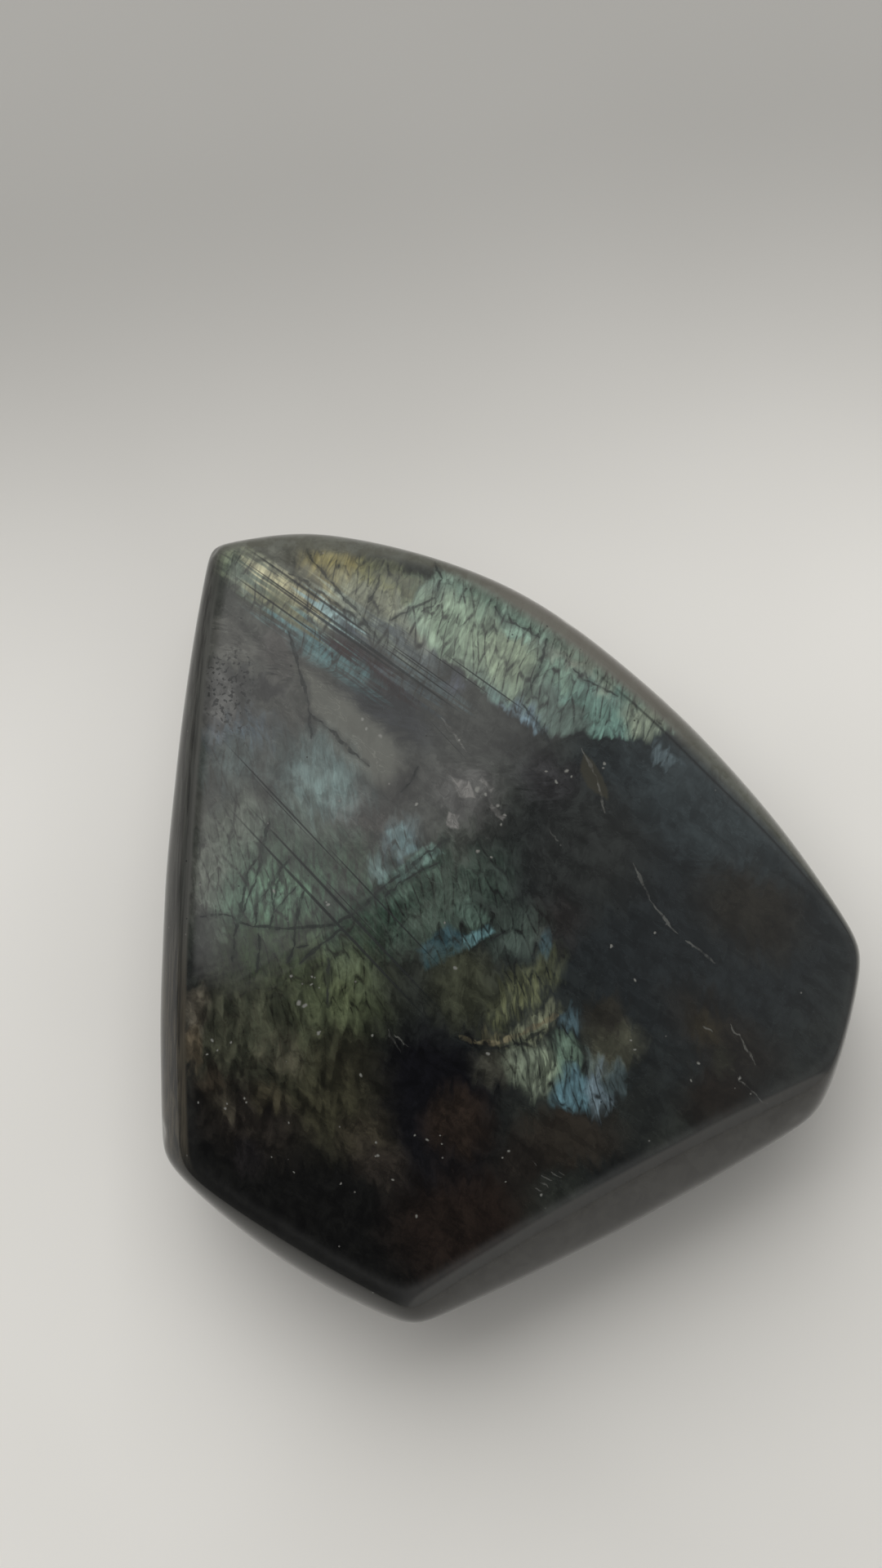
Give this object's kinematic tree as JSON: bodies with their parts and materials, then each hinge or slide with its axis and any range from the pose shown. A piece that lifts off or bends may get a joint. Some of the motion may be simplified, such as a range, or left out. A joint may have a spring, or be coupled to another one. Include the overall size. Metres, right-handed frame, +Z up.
{
  "type": "labradorite block",
  "caption": "Palm-sized freeform block of polished labradorite: gently domed show face, softly rounded edges, one wide bevel, and a flat back to lie on.",
  "frame": {"origin": "on the resting surface, under the middle of the stone's bounding box", "axes": "+Z up out of the show face, +Y along the longest extent towards the pointed corner end, +X towards the blunt right-hand end"},
  "size_m": [0.0914, 0.1032, 0.036],
  "materials": {
    "polished_labradorite": "hand-polished dark grey-green feldspar with green, gold and blue flash patches, fine dark cleavage lines and a clear gloss"
  },
  "bodies": {
    "root": {"labradorite_block": "polished_labradorite"}
  },
  "joints": []
}
